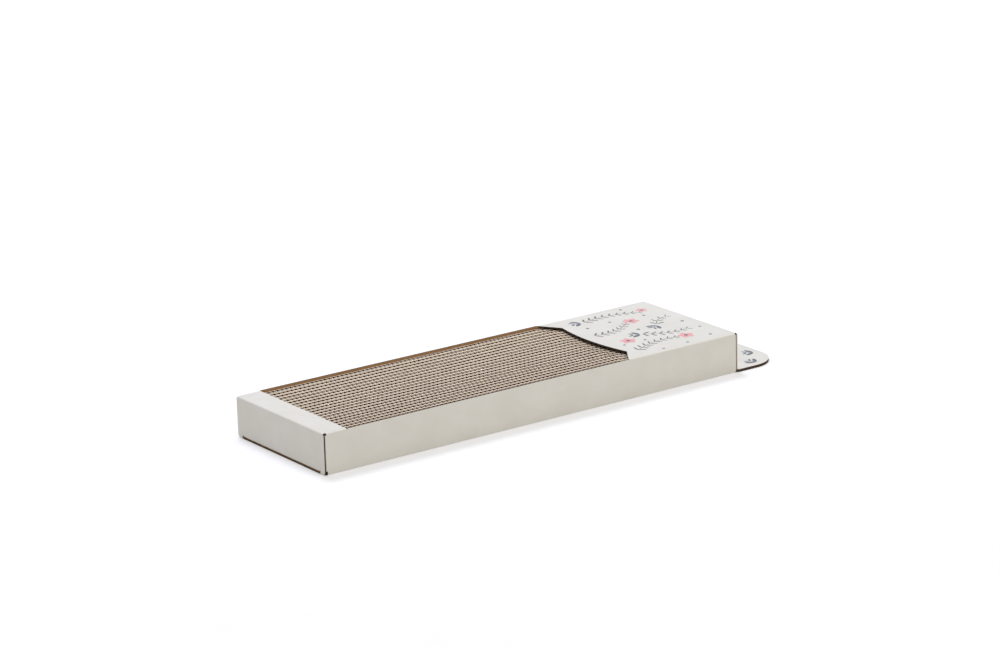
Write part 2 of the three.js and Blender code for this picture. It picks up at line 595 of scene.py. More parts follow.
@dataclass(frozen=True)
class PrintInk:
    """Ink on the cover, laid unevenly, so that the paper shows faintly through."""

    name: str
    colour: Colour
    thin: Colour
    grain_scale: float = 1800.0
    cloud_scale: float = 240.0
    cloud_show: float = 0.7
    thin_range: Pair = (0.72, 1.1)
    thin_share: float = 0.55
    roughness: Pair = (0.48, 0.6)
    relief: float = 0.015 * MM
    specular: float = 0.35

    def material(self) -> Material:
        """Build the finish.

        Returns:
            The finish as a material.
        """
        sheet = ShaderSheet(self.name)
        grain = sheet.noise(self.grain_scale, roughness=0.7)
        patchy = sheet.math("MULTIPLY_ADD", sheet.noise(self.cloud_scale), self.cloud_show, grain)
        share = sheet.ranged(patchy, *self.thin_range, 0.0, self.thin_share)
        colour = sheet.mixed(share, self.colour, self.thin)
        return sheet.surface(colour, sheet.spread(grain, self.roughness), grain, self.relief, self.specular)


# Board


class Station(NamedTuple):
    """One place on a section through the sheet: where its outer face is, and which way it looks."""

    a: float
    b: float
    normal_a: float
    normal_b: float
    fold: float = 0.0


class Sample(NamedTuple):
    """One point of a sheet's outer face, with its place along the flutes and its share of fold."""

    point: Vector
    normal: Vector
    along: float
    fold: float = 0.0


def straight(start: Pair, stops: Sequence[Pair], normal: Pair) -> list[Station]:
    """Return the stations of a flat stretch from its start over its stops, with the way it looks."""
    return [Station(a, b, *normal) for a, b in (start, *stops)]


def bent(centre: Pair, radius: float, start: float, end: float, steps: int,
         hollow: bool = False) -> list[Station]:
    """Return the stations of a fold.

    Args:
        centre: The fold's centre in the section's plane.
        radius: The radius of its outer face.
        start: The angle where it starts, in degrees.
        end: The angle where it ends, in degrees.
        steps: How many flat strips stand for it.
        hollow: True where the outer face lies inside the fold.

    Returns:
        The stations, the first and last on the neighbouring flat stretches.
    """
    found = []
    look = -1.0 if hollow else 1.0
    for step in range(steps + 1):
        share = step / steps
        angle = math.radians(start + (end - start) * share)
        out = (math.cos(angle), math.sin(angle))
        found.append(Station(centre[0] + radius * out[0], centre[1] + radius * out[1],
                             look * out[0], look * out[1], math.sin(math.pi * share)))
    return found


def running(stations: Sequence[Station]) -> list[float]:
    """Measure along a section.

    Args:
        stations: Its stations.

    Returns:
        The length run up to each of them.
    """
    runs = [0.0]
    for start, end in zip(stations, stations[1:]):
        runs.append(runs[-1] + math.hypot(end.a - start.a, end.b - start.b))
    return runs


@dataclass(frozen=True)
class BoardGauge:
    """The fluted board: two papers with a wavy one between them.

    At a raw edge a groove of groove_depth opens between the two papers. The wavy paper stands in
    it, medium_setback behind the edge, in facets of flute_step.
    """

    thickness: float
    liner: float = 0.22 * MM
    medium: float = 0.2 * MM
    flute_pitch: float = 3.2 * MM
    groove_depth: float = 0.9 * MM
    medium_setback: float = 0.1 * MM
    flute_step: float = 0.4 * MM
    weld: float = 0.001 * MM


@dataclass
class FluteLine:
    """Geometry Nodes that stand the wavy middle paper in a raw edge, along the edge's line."""

    gauge: BoardGauge
    material: Material

    def __post_init__(self) -> None:
        """Build the tree once for all the raw edges."""
        self.tree = self._tree()

    def _tree(self) -> GeometryTree:
        """Build the tree.

        Returns:
            A tree whose inputs are sizes of the wavy paper.
        """
        tree = GeometryTree("flute_line")
        step, pitch, middle, swing, setback, depth, paper = tree.take(
            "Step", "Pitch", "Middle", "Swing", "Setback", "Depth", "Paper")
        across, into = tree.named("across", "FLOAT_VECTOR"), tree.named("into", "FLOAT_VECTOR")
        line = tree.out("GeometryNodeCurveToMesh", {"Curve": tree.resampled(tree.traced(), step)})
        turn = tree.math("DIVIDE", tree.math("MULTIPLY", tree.named("along"), 2 * math.pi), pitch)
        level = tree.math("MULTIPLY_ADD", tree.math("SINE", turn), swing, middle)
        waved = tree.shifted(line, tree.summed(tree.scaled(across, level), tree.scaled(into, setback)))
        ribbon = tree.out("GeometryNodeExtrudeMesh", {"Mesh": waved, "Offset": into, "Offset Scale": depth},
                          mode="EDGES")
        inputs = {"Mesh": ribbon, "Offset": across, "Offset Scale": paper, "Individual": False}
        thick = tree.out("GeometryNodeExtrudeMesh", inputs, mode="FACES")
        both = tree.together(thick, tree.out("GeometryNodeFlipFaces", {"Mesh": ribbon}))
        tree.end(tree.out("GeometryNodeMergeByDistance", {"Geometry": both, "Distance": self.gauge.weld}))
        return tree

    def stand(self, line: Mesh) -> Mesh:
        """Stand the wavy paper in a raw edge.

        Args:
            line: The edge's line, with the ways across the board and into it.

        Returns:
            The wavy paper.
        """
        gauge = self.gauge
        return self.tree.run(line, self.material, {
            "Step": gauge.flute_step, "Pitch": gauge.flute_pitch, "Paper": gauge.medium,
            "Middle": (gauge.thickness - gauge.medium) / 2,
            "Swing": gauge.thickness / 2 - gauge.liner - gauge.medium / 2,
            "Setback": gauge.medium_setback, "Depth": gauge.groove_depth - gauge.medium_setback,
        })


@dataclass
class BoardFinishes:
    """The materials of a piece of board, and the flutes that its raw edges show."""

    printed: Material
    kraft: Material
    cut: Material
    flutes: FluteLine

    def slots(self) -> list[Material]:
        """Return the materials in the order of Face."""
        return [self.printed, self.kraft, self.cut, self.flutes.material]


@dataclass
class FoldedBoard:
    """Grows the outer face of a sheet patch by patch, then gives it thickness and raw edges.

    The groove of a raw edge is mitred at a corner, by mitre_limit times its depth at most.
    """

    finishes: BoardFinishes
    mitre_limit: float = 1.5
    mitre_least: float = 0.1
    sharp_angle: float = 32.0

    def __post_init__(self) -> None:
        """Start an empty sheet."""
        self.gauge = self.finishes.flutes.gauge
        self.points: list[Vector] = []
        self.normals: list[Vector] = []
        self.along: list[float] = []
        self.fold: list[float] = []
        self.faces: list[tuple[int, ...]] = []
        self.closed: dict[tuple[int, int], Face] = {}
        self.known: dict[tuple[int, ...], int] = {}

    def _corner(self, sample: Sample) -> int:
        """Note a sample, unless a neighbouring patch has one in its place.

        Args:
            sample: The sample.

        Returns:
            The index of its point.
        """
        key = tuple(round(value / self.gauge.weld) for value in sample.point)
        if key not in self.known:
            self.known[key] = len(self.points)
            self.points.append(sample.point.copy())
            self.normals.append(Vector())
            self.along.append(sample.along)
            self.fold.append(sample.fold)
        index = self.known[key]
        self.normals[index] += sample.normal
        return index

    def patch(self, rows: Sequence[Sequence[Sample]], first_row: Border = Border.RAW,
              last_row: Border = Border.RAW, first_column: Border = Border.RAW,
              last_column: Border = Border.RAW) -> None:
        """Add a patch of outer face.

        Args:
            rows: Rows of samples, each running the way of the sheet's length. Seen from outside,
                the next row lies to the left of the one before.
            first_row: How the border along the first row ends, unless another patch goes on there.
            last_row: The same for the last row.
            first_column: The same for the border through the first samples.
            last_column: The same for the border through the last samples.
        """
        grid = [[self._corner(sample) for sample in row] for row in rows]
        for low, high in zip(grid, grid[1:]):
            for left in range(len(low) - 1):
                ring = [low[left], low[left + 1], high[left + 1], high[left]]
                ring = [corner for place, corner in enumerate(ring) if corner != ring[place - 1]]
                if len(ring) > 2:
                    self.faces.append(tuple(ring))
        borders = (
            (first_row, grid[0]), (last_row, grid[-1]),
            (first_column, [row[0] for row in grid]), (last_column, [row[-1] for row in grid]),
        )
        for border, line in borders:
            if border is not Border.RAW:
                face = Face.CUT if border is Border.JOINED else Face.PRINTED
                for start, end in zip(line, line[1:]):
                    self.closed[(start, end)] = self.closed[(end, start)] = face

    def sweep(self, stations: Sequence[Station], columns: Callable[[Station], Sequence[float]],
              **borders: Border) -> None:
        """Add a patch of sleeve: a section in the YZ plane, drawn along X.

        Args:
            stations: The section's stations (y, z).
            columns: Gives the X of each column at a station.
            borders: As patch takes them.
        """
        rows = []
        for s in stations:
            look = Vector((0, s.normal_a, s.normal_b))
            rows.append([Sample(Vector((x, s.a, s.b)), look, x, s.fold) for x in columns(s)])
        self.patch(rows, **borders)

    def fall(self, stations: Sequence[Station], across: Sequence[float], **borders: Border) -> None:
        """Add a patch of end panel: a section in the XZ plane, drawn along Y.

        Args:
            stations: The section's stations (x, z), in the way of the sheet's length.
            across: The Y of each row.
            borders: As patch takes them.
        """
        runs = running(stations)
        looks = [Vector((s.normal_a, 0, s.normal_b)) for s in stations]
        self.patch([[Sample(Vector((s.a, y, s.b)), look, run, s.fold)
                     for s, look, run in zip(stations, looks, runs)] for y in across], **borders)

    def wrap(self, stations: Sequence[Station], heights: Callable[[int], Sequence[float]],
             **borders: Border) -> None:
        """Add a patch of dust flap: a section in the XY plane, drawn along Z.

        Args:
            stations: The section's stations (x, y), in the way of the sheet's length.
            heights: Gives the Z of each row at a station's place in the list.
            borders: As patch takes them.
        """
        columns = []
        for place, (s, run) in enumerate(zip(stations, running(stations))):
            look = Vector((s.normal_a, s.normal_b, 0))
            columns.append([Sample(Vector((s.a, s.b, z)), look, run, s.fold) for z in heights(place)])
        self.patch(list(zip(*columns)), **borders)

    def _rim(self) -> dict[int, int]:
        """Return the next corner after each corner on the sheet's rim, with the sheet on the left."""
        directed = {(ring[place - 1], ring[place]) for ring in self.faces for place in range(len(ring))}
        return {start: end for start, end in directed if (end, start) not in directed}

    def _into(self, rim: dict[int, int], before: dict[int, int]) -> dict[int, Vector]:
        """Find the way into the sheet at each corner of the rim, mitred between its two edges.

        Args:
            rim: The next corner after each corner on the rim.
            before: The corner before each.

        Returns:
            The way in at each corner, as long as a step in by 1 from both edges needs.
        """
        found = {}
        for corner, after in rim.items():
            normal = self.normals[corner]
            ways = [normal.cross(self.points[end] - self.points[start]).normalized()
                    for start, end in ((before[corner], corner), (corner, after))]
            total = ways[0] + ways[1]
            reach = len(ways) / max(total.length, self.mitre_least)
            found[corner] = total.normalized() * min(self.mitre_limit, reach)
        return found

    def build(self) -> Mesh:
        """Close the sheet.

        Returns:
            The closed sheet with its flutes, as one mesh with its materials.
        """
        gauge = self.gauge
        self.normals = [normal.normalized() for normal in self.normals]
        count = len(self.points)
        points = self.points + [p - n * gauge.thickness for p, n in zip(self.points, self.normals)]
        owners = list(range(count)) * 2
        rim = self._rim()
        before = {end: start for start, end in rim.items()}
        into = self._into(rim, before)
        lip = (gauge.liner, gauge.liner, gauge.thickness - gauge.liner, gauge.thickness - gauge.liner)
        inset = (0.0, gauge.groove_depth, gauge.groove_depth, 0.0)
        levels: dict[int, list[int]] = {}
        for corner in rim:
            chain = [corner]
            for down, inward in zip(lip, inset):
                chain.append(len(points))
                points.append(self.points[corner] - self.normals[corner] * down + into[corner] * inward)
                owners.append(corner)
            levels[corner] = [*chain, corner + count]
        faces = [*self.faces, *(tuple(corner + count for corner in reversed(ring)) for ring in self.faces)]
        kinds = [Face.PRINTED] * len(self.faces) + [Face.KRAFT] * len(self.faces)
        bands = (Face.CUT, Face.FLUTE, Face.FLUTE, Face.FLUTE, Face.CUT)
        for start, end in rim.items():
            here, there = levels[start], levels[end]
            if (start, end) in self.closed:
                faces.append((end, start, here[-1], there[-1]))
                kinds.append(self.closed[(start, end)])
            else:
                for level, kind in enumerate(bands):
                    faces.append((there[level], here[level], here[level + 1], there[level + 1]))
                    kinds.append(kind)
            came_closed = (before[start], start) in self.closed
            if came_closed != ((start, end) in self.closed):
                faces.append(tuple(reversed(here)) if came_closed else tuple(here))
                kinds.append(Face.CUT)
        mesh = bpy.data.meshes.new("board")
        mesh.from_pydata(points, [], faces)
        for label, values in (("along", self.along), ("fold", self.fold)):
            note(mesh, label, [values[owner] for owner in owners])
        mesh.polygons.foreach_set("material_index", [kind.value for kind in kinds])
        self._add_flutes(mesh, rim, into)
        return mesh

    def _raw_line(self, rim: dict[int, int], into: dict[int, Vector]) -> Mesh:
        """Draw the line of the raw edges.

        Args:
            rim: The next corner after each corner on the rim.
            into: The way into the sheet at each corner of the rim.

        Returns:
            The line, with what the flutes read from it.
        """
        raw = [edge for edge in rim.items() if edge not in self.closed]
        corners = sorted({corner for edge in raw for corner in edge})
        place = {corner: index for index, corner in enumerate(corners)}
        line = bpy.data.meshes.new("raw_edge")
        line.from_pydata([self.points[c] for c in corners], [(place[a], place[b]) for a, b in raw], [])
        vectors = (("across", [-self.normals[c] for c in corners]), ("into", [into[c] for c in corners]))
        for label, values in vectors:
            layer = line.attributes.new(label, "FLOAT_VECTOR", "POINT")
            layer.data.foreach_set("vector", [part for vector in values for part in vector])
        note(line, "along", [self.along[c] for c in corners])
        return line

    def _add_flutes(self, mesh: Mesh, rim: dict[int, int], into: dict[int, Vector]) -> None:
        """Join the wavy paper of the raw edges to the sheet, and dress both.

        Args:
            mesh: The closed sheet.
            rim: The next corner after each corner on the rim.
            into: The way into the sheet at each corner of the rim.
        """
        flutes = self.finishes.flutes.stand(self._raw_line(rim, into))
        joined = bmesh.new()
        joined.from_mesh(mesh)
        sheet_faces = len(joined.faces)
        joined.from_mesh(flutes)
        joined.faces.ensure_lookup_table()
        for face in joined.faces[sheet_faces:]:
            face.material_index = Face.FLUTE.value
        bmesh.ops.triangulate(joined, faces=[face for face in joined.faces if len(face.verts) > 4])
        joined.to_mesh(mesh)
        joined.free()
        for material in self.finishes.slots():
            mesh.materials.append(material)
        mesh.shade_smooth()
        mesh.set_sharp_from_angle(angle=math.radians(self.sharp_angle))


@dataclass(frozen=True)
class CartonPlan:
    """Where the carton's faces and folds lie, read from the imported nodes."""

    foot_x: float
    head_x: float
    half_width: float
    height: float
    board: float
    bend: float
    bridge_x: float
    cover_x: float
    shoulder_y: float
    fold_gap: float = 0.3 * MM
    tab_crease: float = 0.6 * MM
    ink_room: float = 0.04 * MM
    bend_steps: int = 8

    @classmethod
    def from_frame(cls) -> "CartonPlan":
        """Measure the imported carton.

        Returns:
            Its plan.
        """
        side_low, side_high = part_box("far_side_panel")
        bend = side_high.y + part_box("bottom_panel")[0].y
        return cls(
            foot_x=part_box("foot_end_panel")[0].x,
            head_x=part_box("head_end_panel")[1].x,
            half_width=side_high.y,
            height=side_high.z - cls.ink_room,
            board=side_high.y - side_low.y,
            bend=bend,
            bridge_x=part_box("foot_bridge")[1].x,
            cover_x=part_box("head_cover")[0].x,
            shoulder_y=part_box("foot_tuck_flap")[1].y + bend - cls.fold_gap,
        )

    @property
    def flat_y(self) -> float:
        """Half the width of the top between its folds."""
        return self.half_width - self.bend

    @property
    def fold_z(self) -> float:
        """Height at which the top's folds start."""
        return self.height - self.bend

    @property
    def foot_fold_x(self) -> float:
        """X at which the top's fold at the foot end starts."""
        return self.foot_x + self.bend

    @property
    def head_fold_x(self) -> float:
        """X at which the top's fold at the head end starts."""
        return self.head_x - self.bend

    @property
    def side_span(self) -> Pair:
        """X of both ends of the side panels' flat stretch."""
        return self.foot_fold_x + self.bend, self.head_fold_x - self.bend

    @property
    def tab_top(self) -> float:
        """Height of the tab's upper face, under the ink."""
        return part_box("tab_upper_layer")[1].z - self.ink_room

    def turned(self, centre: Pair, start: float, end: float) -> list[Station]:
        """Return the stations of a fold of the carton's own radius about a centre."""
        return bent(centre, self.bend, start, end, self.bend_steps)


@dataclass
class CartonShell:
    """The carton's fixed sheet: sleeve, bridge, cover, head end and the flaps glued or tucked inside.

    The cover's edge runs in from both sides to a notch, notch_inset from the side wall and
    notch_step farther on, and bows out by cover_bulge between the notches. The side walls' rims
    are nicked by window_nick at the window's corners. Tapers are in degrees.
    """

    plan: CartonPlan
    finishes: BoardFinishes
    notch_inset: float = 28.0 * MM
    notch_step: float = 17.5 * MM
    cover_bulge: float = 7.0 * MM
    window_nick: float = 0.9 * MM
    glue_slant: float = 0.5
    head_taper: float = 8.0
    edge_steps: int = 24
    board: FoldedBoard = field(init=False)

    def __post_init__(self) -> None:
        """Start the sheet and note the X of its columns."""
        self.board = FoldedBoard(self.finishes)
        self.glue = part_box("glue_flap")
        glue_low, glue_high = self.glue
        plan = self.plan
        self.stops = sorted({
            plan.foot_fold_x, plan.side_span[0], glue_low.x, plan.bridge_x,
            plan.cover_x, glue_high.x, plan.side_span[1], plan.head_x,
        })

    def _columns(self, low: float, high: float) -> Callable[[Station], list[float]]:
        """Return the columns between two places along the sleeve, the same at each station."""
        found = [low, *(x for x in self.stops if low < x < high), high]
        return lambda station: found

    def _bottom(self) -> None:
        """Add the glue flap, the bottom panel and its tongue."""
        plan, board = self.plan, self.board
        low, high = self.glue
        far_y = plan.flat_y - plan.bend
        lean = self.glue_slant * high.z

        def glue_columns(station: Station) -> list[float]:
            """Return the glue flap's columns, drawn in towards its top."""
            slant = lean * max(station.b - plan.bend, 0.0) / (high.z - plan.bend)
            return [low.x + slant, *(x for x in self.stops if low.x < x < high.x), high.x - slant]

        board.sweep(straight((plan.flat_y, high.z), [(plan.flat_y, plan.bend)], (1, 0)), glue_columns)
        board.sweep(plan.turned((far_y, plan.bend), 0, -90), self._columns(low.x, high.x))
        tongue_y = plan.shoulder_y - plan.fold_gap
        floor = straight((far_y, 0), [(tongue_y, 0), (-tongue_y, 0), (-plan.flat_y, 0)], (0, -1))
        board.sweep(floor, self._columns(plan.foot_fold_x, plan.head_x), last_column=Border.JOINED)
        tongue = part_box("bottom_panel")[0].x
        board.sweep(floor[1:3], lambda station: [tongue, plan.foot_fold_x])

    def _side(self, side: Side) -> None:
        """Add a side panel with its fold to the bottom, its rim along the window, and its head flap.

        Args:
            side: Which long side.
        """
        plan, board, sign = self.plan, self.board, side.value
        face_y = sign * plan.half_width
        look = (float(sign), 0.0)
        low_x, high_x = plan.side_span
        foot_low, foot_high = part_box(f"foot_dust_flap_{side.label}")
        head_low, head_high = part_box(f"head_dust_flap_{side.label}")
        columns = self._columns(low_x, high_x)
        start = 0.0
        if side is Side.NEAR:
            start = plan.bend
            board.sweep(plan.turned((-plan.flat_y, plan.bend), -90, -180), columns)
        levels = sorted({start, head_low.z, foot_low.z, foot_high.z, plan.fold_z})
        for lower, upper in zip(levels, levels[1:]):
            wall = side.ordered(straight((face_y, lower), [(face_y, upper)], look))
            hinged = foot_low.z <= lower and upper <= foot_high.z
            board.sweep(wall, columns, first_column=Border.JOINED if hinged else Border.RAW)

        def rim_columns(station: Station) -> list[float]:
            """Return the rim's columns, nicked at both ends of the window."""
            nick = self.window_nick * (station.b - plan.fold_z) / plan.bend
            return [plan.bridge_x + nick, plan.cover_x - nick]

        rim = straight((face_y, plan.fold_z), [(face_y, plan.height)], look)
        board.sweep(side.ordered(rim), rim_columns)
        turns = (180, 90) if side is Side.NEAR else (90, 0)
        fold = plan.turned((sign * plan.flat_y, plan.fold_z), *turns)
        board.sweep(fold, self._columns(low_x, plan.bridge_x))
        board.sweep(fold, self._columns(plan.cover_x, high_x))
        self._head_flap(side, [head_low.z, foot_low.z, foot_high.z, head_high.z],
                        sign * min(abs(head_low.y), abs(head_high.y)))

    def _head_flap(self, side: Side, levels: list[float], tip_y: float) -> None:
        """Add the dust flap behind the head end.

        Args:
            side: The side panel that it hangs on.
            levels: Heights of its rows at that panel.
            tip_y: Where it ends.
        """
        plan, root_y = self.plan, side.value * self.plan.flat_y
        fold = plan.turned((plan.side_span[1], root_y), 90 * side.value, 0)
        flap = straight((plan.head_fold_x, root_y), [(plan.head_fold_x, tip_y)], (1, 0))
        taper = abs(root_y - tip_y) * math.tan(math.radians(self.head_taper))

        def heights(drop: float) -> list[float]:
            """Return the flap's rows, the same as the side panel's where nothing is dropped."""
            return side.ordered([levels[0] + drop, *levels[1:-1], levels[-1] - drop])

        self.board.wrap(fold, lambda place: heights(0.0))
        self.board.wrap(flap, lambda place: heights(taper * place))

    def edge_x(self, y: float) -> float:
        """Find the cover's raw edge: slanted to a notch on each side, bowed between them.

        Args:
            y: Where across the carton.

        Returns:
            The edge's X there.
        """
        plan = self.plan
        notch_y = plan.half_width - self.notch_inset
        notch_x = plan.cover_x + self.notch_step
        if abs(y) >= notch_y:
            return plan.cover_x + self.notch_step * (plan.flat_y - abs(y)) / (plan.flat_y - notch_y)
        radius = (notch_y ** 2 + self.cover_bulge ** 2) / (2 * self.cover_bulge)
        return notch_x - self.cover_bulge + radius - math.sqrt(radius ** 2 - y ** 2)

    def _top(self) -> None:
        """Add the bridge, the cover, the fold at the head and the head end panel."""
        plan, board = self.plan, self.board
        flat = straight((-plan.flat_y, plan.height), [(plan.flat_y, plan.height)], (0, 1))
        board.sweep(flat, self._columns(plan.foot_fold_x, plan.bridge_x), first_column=Border.JOINED)
        notch_y = plan.half_width - self.notch_inset
        bow = [notch_y * (2 * step / self.edge_steps - 1) for step in range(self.edge_steps + 1)]
        rows = [-plan.flat_y, *bow, plan.flat_y]
        cover = straight((rows[0], plan.height), [(y, plan.height) for y in rows[1:]], (0, 1))
        inner = [x for x in self.stops if plan.cover_x < x < plan.head_fold_x]
        board.sweep(cover, lambda station: [self.edge_x(station.a), *inner, plan.head_fold_x])
        board.fall(plan.turned((plan.head_fold_x, plan.fold_z), 90, 0), rows)
        drop = straight((plan.head_x, plan.fold_z), [(plan.head_x, plan.tab_top + plan.tab_crease)], (1, 0))
        board.fall(drop, [-plan.half_width, *rows, plan.half_width], last_column=Border.JOINED,
                   first_row=Border.PAPERED, last_row=Border.PAPERED)

    def make(self) -> None:
        """Build the shell and place it on the carton's body."""
        self._bottom()
        self._side(Side.NEAR)
        self._top()
        self._side(Side.FAR)
        placed("folded_sleeve", self.board.build(), "carton", "printed_board",
               "bottom_panel", "near_side_panel", "far_side_panel", "foot_bridge", "head_cover", "glue_flap",
               "head_end_panel", "head_dust_flap_near", "head_dust_flap_far")


@dataclass
class FootEnd:
    """The hinged foot end: panel with shoulders, tuck flap, two dust flaps and the folds between them.

    The shoulders reach down to the floor beside the bottom's tongue, with rounded outer corners.
    The tuck flap is sprung up by tuck_lift degrees, and the dust flaps' tapers are in degrees.
    """

    plan: CartonPlan
    finishes: BoardFinishes
    shoulder_radius: float = 5.0 * MM
    shoulder_top: float = 8.0 * MM
    tuck_lift: float = 14.0
    tuck_taper: float = 8.0 * MM
    dust_foot_taper: float = 6.0
    dust_top_taper: float = 37.0
    corner_steps: int = 6

    def _tuck_fold(self) -> list[Station]:
        """Shape the fold between the tuck flap and the end panel.

        Returns:
            Its stations, from the flap up.
        """
        plan = self.plan
        rise = plan.bend * math.tan(math.radians((90 + self.tuck_lift) / 2))
        return plan.turned((plan.foot_x + plan.bend, plan.bend + rise), 270 + self.tuck_lift, 180)

    def _panel(self) -> None:
        """Make the end panel, with its shoulders' outer corners rounded."""
        plan = self.plan
        board = FoldedBoard(self.finishes)
        fold_end = self._tuck_fold()[-1].b
        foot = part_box("foot_end_panel")[0].z
        tuck_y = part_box("foot_tuck_flap")[1].y
        insets = [self.shoulder_radius * (1 - math.sin(math.pi / 2 * step / self.corner_steps))
                  for step in range(self.corner_steps + 1)]
        shoulder = [plan.shoulder_y, *(plan.half_width - inset for inset in insets)]
        rows = [*(-y for y in reversed(shoulder)), -tuck_y, tuck_y, *shoulder]
        split = self.shoulder_top
        look = (-1, 0)
        board.fall(straight((plan.foot_x, split), [(plan.foot_x, plan.fold_z)], look), rows)
        middle = straight((plan.foot_x, fold_end), [(plan.foot_x, split)], look)
        board.fall(middle, [-plan.shoulder_y, -tuck_y])
        board.fall(middle, [-tuck_y, tuck_y], first_column=Border.JOINED)
        board.fall(middle, [tuck_y, plan.shoulder_y])

        def low_z(y: float) -> float:
            """Return where a shoulder ends above the floor."""
            past = max(abs(y) - (plan.half_width - self.shoulder_radius), 0.0) / self.shoulder_radius
            return foot + self.shoulder_radius * (1 - math.sqrt(max(1 - past ** 2, 0.0)))

        for sign in (-1, 1):
            lines = [sign * y for y in (shoulder if sign > 0 else shoulder[::-1])]
            board.patch([[Sample(Vector((plan.foot_x, y, z)), Vector((-1, 0, 0)), z)
                          for z in (low_z(y), split)] for y in lines])
        placed("foot_end_flap", board.build(), "foot_end", "printed_board", "foot_end_panel")

    def _top_fold(self) -> None:
        """Make the fold that carries the end panel on the bridge."""
        plan = self.plan
        board = FoldedBoard(self.finishes)
        fold = plan.turned((plan.foot_fold_x, plan.fold_z), 180, 90)
        board.fall(fold, [-plan.flat_y, plan.flat_y], **BOTH_JOINED)
        crossing("foot_end_crease", board.build(), ("carton", "foot_end"))

    def _tuck(self) -> None:
        """Make the tuck flap and its fold."""
        fold = self._tuck_fold()
        root = fold[0]
        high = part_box("foot_tuck_flap")[1]
        lift = math.radians(self.tuck_lift)
        reach = (high.x - root.a) / math.cos(lift)
        look = Vector((math.sin(lift), 0, -math.cos(lift)))
        flap = FoldedBoard(self.finishes)
        rows = []
        for sign in (-1, 1):
            tip = Vector((high.x, sign * (high.y - self.tuck_taper), root.b + reach * math.sin(lift)))
            hinge = Vector((root.a, sign * high.y, root.b))
            rows.append([Sample(tip, look, 0.0), Sample(hinge, look, reach)])
        flap.patch(rows, last_column=Border.JOINED)
        placed("tuck_in_flap", flap.build(), "tuck_flap", "printed_board", "foot_tuck_flap")
        crease = FoldedBoard(self.finishes)
        crease.fall(fold, [-high.y, high.y], **BOTH_JOINED)
        crossing("tuck_in_crease", crease.build(), ("foot_end", "tuck_flap"))

    def _dust_flap(self, side: Side) -> None:
        """Make one dust flap and its fold to the side panel.

        Args:
            side: The side panel that it hangs on.
        """
        plan, sign = self.plan, side.value
        low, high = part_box(f"foot_dust_flap_{side.label}")
        tip_y = sign * min(abs(low.y), abs(high.y))
        root_y = sign * plan.flat_y
        rise, fall = (abs(tip_y - root_y) * math.tan(math.radians(taper))
                      for taper in (self.dust_foot_taper, self.dust_top_taper))
        tip, root = side.ordered([low.z + rise, high.z - fall]), side.ordered([low.z, high.z])
        flap = FoldedBoard(self.finishes)
        stations = straight((plan.foot_fold_x, tip_y), [(plan.foot_fold_x, root_y)], (-1, 0))
        flap.wrap(stations, lambda place: (tip, root)[place], last_column=Border.JOINED)
        name = f"dust_flap_{side.label}"
        placed(name, flap.build(), name, "inside_board", f"foot_dust_flap_{side.label}")
        crease = FoldedBoard(self.finishes)
        fold = plan.turned((plan.side_span[0], root_y), 180, 180 - 90 * sign)
        crease.wrap(fold, lambda place: root, **BOTH_JOINED)
        crossing(f"dust_flap_crease_{side.label}", crease.build(), ("carton", name))

    def make(self) -> None:
        """Build and place every piece of the foot end."""
        self._panel()
        self._top_fold()
        self._tuck()
        for side in Side:
            self._dust_flap(side)


@dataclass
class TabFold:
    """The tab at the head end: two layers of board, and the folds that they swing on."""

    plan: CartonPlan
    finishes: BoardFinishes
    corner_radius: float = 38.0 * MM
    corner_steps: int = 14

    def _rows(self) -> list[Pair]:
        """Round the tab's corners.

        Returns:
            The Y of each row across the tab, with the X where the row ends.
        """
        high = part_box("tab_upper_layer")[1]
        radius = self.corner_radius
        bow = []
        for step in range(self.corner_steps + 1):
            angle = math.pi / 2 * step / self.corner_steps
            bow.append((high.y - radius * (1 - math.sin(angle)), high.x - radius * (1 - math.cos(angle))))
        return [*((-y, x) for y, x in reversed(bow)), *bow]

    def _layer(self, name: str, node: str, upper: bool) -> None:
        """Make one layer of the tab.

        Args:
            name: The piece's name.
            node: The CAD node that it stands for.
            upper: True for the layer whose printed face looks up.
        """
        start = self.plan.head_x + self.plan.tab_crease
        face = self.plan.tab_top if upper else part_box(node)[0].z
        normal = Vector((0, 0, 1 if upper else -1))
        rows = self._rows() if upper else self._rows()[::-1]
        board = FoldedBoard(self.finishes)
        board.patch([[Sample(Vector((x, y, face)), normal, x) for x in (start, end)] for y, end in rows],
                    first_column=Border.JOINED)
        placed(name, board.build(), "tab", "printed_board", node)

    def _creases(self) -> None:
        """Make the two folds that carry the tab on the carton."""
        plan = self.plan
        hinge_x, hinge_z = plan.head_x + plan.tab_crease, plan.tab_top + plan.tab_crease
        turned = bent((hinge_x, hinge_z), plan.tab_crease, 180, 270, plan.bend_steps, hollow=True)
        level = straight((plan.head_x, 0), [(hinge_x, 0)], (0, -1))
        for name, stations, across in (
            ("tab_crease_upper", turned, [-plan.half_width, plan.half_width]),
            ("tab_crease_lower", level, [plan.flat_y, -plan.flat_y]),
        ):
            board = FoldedBoard(self.finishes)
            board.fall(stations, across, **BOTH_JOINED)
            crossing(name, board.build(), ("carton", "tab"))

    def make(self) -> None:
        """Build and place the tab."""
        self._layer("tab_top_sheet", "tab_upper_layer", True)
        self._layer("tab_under_sheet", "tab_lower_layer", False)
        self._creases()


# Print. Sprigs, spots and leaves are given in millimetres and degrees.


